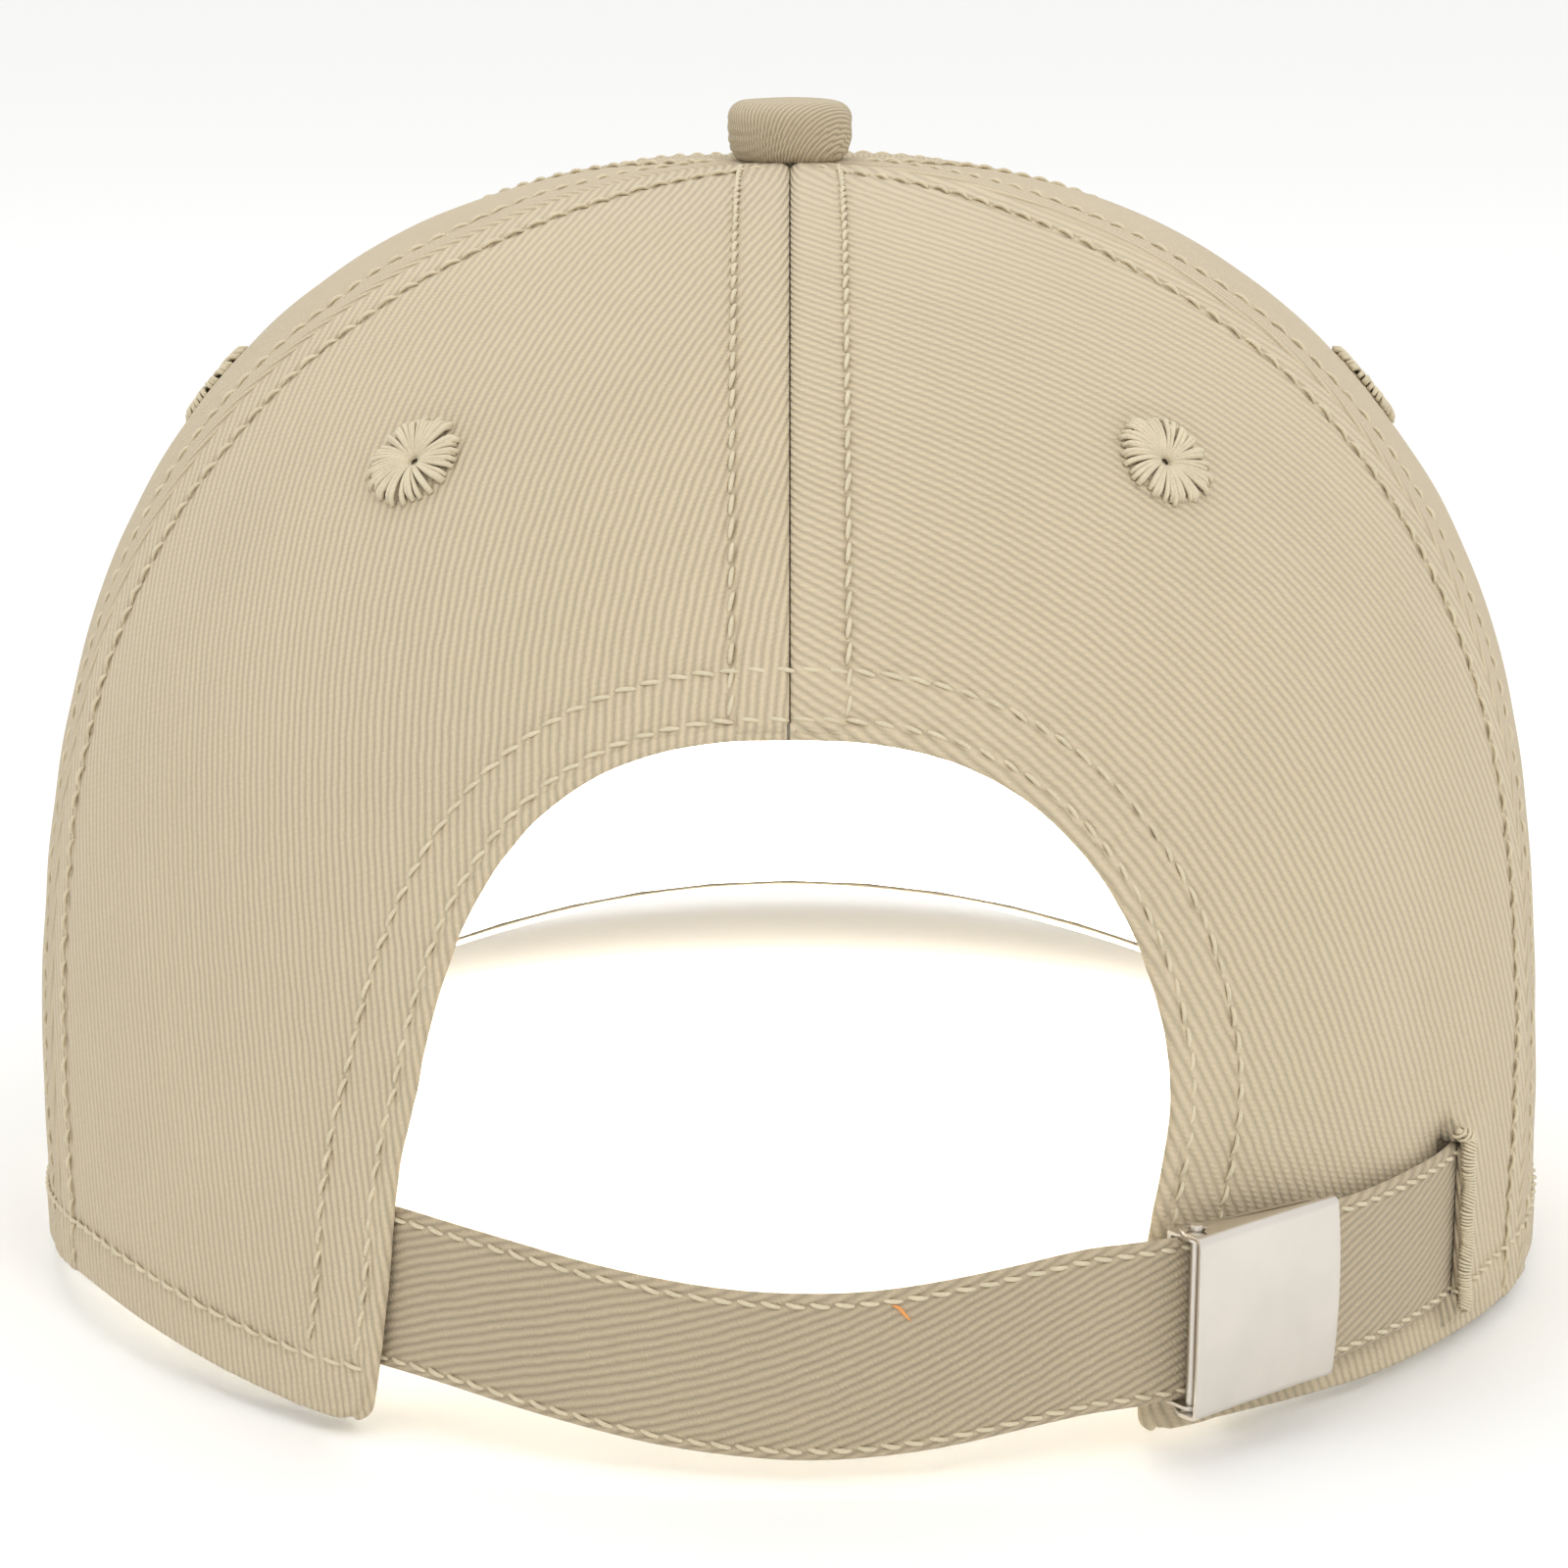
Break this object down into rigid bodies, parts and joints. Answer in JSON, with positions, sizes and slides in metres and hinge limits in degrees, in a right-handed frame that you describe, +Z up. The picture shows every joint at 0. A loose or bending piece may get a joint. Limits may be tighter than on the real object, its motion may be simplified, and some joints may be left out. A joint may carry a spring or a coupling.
{
  "type": "baseball cap",
  "caption": "Six-panel cloth cap with a stiff curved visor, a covered top button, an arched back opening and a tuck-away strap held by a hinged metal clasp.",
  "frame": {"origin": "centre of the head opening, in the plane of the rim", "axes": "+Z up through the top button, +Y towards the back opening, -Y over the visor, +X to the wearer's left"},
  "size_m": [0.1784, 0.2736, 0.1351],
  "materials": {
    "twill": "matte khaki cotton twill",
    "thread": "khaki embroidery thread with a soft sheen",
    "lining": "matte off-white plain-weave cotton",
    "stiffener": "white starched open-weave buckram",
    "board": "matte white moulded sheet",
    "nickel": "satin warm nickel plate",
    "button_metal": "plain stamped steel"
  },
  "bodies": {
    "cap": {"back_left_panel": "twill", "back_right_panel": "twill", "side_left_panel": "twill", "side_right_panel": "twill", "front_left_panel": "twill", "front_right_panel": "twill", "eyelet_back_left": "thread", "eyelet_back_right": "thread", "eyelet_side_left": "thread", "eyelet_side_right": "thread", "eyelet_front_left": "thread", "eyelet_front_right": "thread", "button_cover": "twill", "button_core": "button_metal", "button_washer": "button_metal", "visor_upper_cover": "twill", "visor_under_cover": "twill", "visor_board": "board", "sweatband": "lining", "buckram_left": "stiffener", "buckram_right": "stiffener", "arch_facing": "twill", "seam_tape_front": "lining", "seam_tape_back": "lining", "seam_tape_front_left": "lining", "seam_tape_front_right": "lining", "seam_tape_back_left": "lining", "seam_tape_back_right": "lining", "strap_slot_stitching": "thread", "clasp_base": "nickel", "clasp_pin": "nickel", "clasp_loop_tab": "twill"},
    "strap": {"strap": "twill"},
    "clasp_cover": {"clasp_cover": "nickel"}
  },
  "joints": [
    {"name": "strap_slide", "type": "hinge", "parent": "cap", "child": "strap", "pos_m": [-0.0046, 0.0239, 0.01602], "axis": [-0.0134, 0.03, 0.9995], "range_deg": [-3, 7]},
    {"name": "clasp_cover_hinge", "type": "hinge", "parent": "cap", "child": "clasp_cover", "pos_m": [-0.04177, 0.09118, 0.0135], "axis": [0.0134, -0.03, -0.9995], "range_deg": [0, 70]}
  ]
}
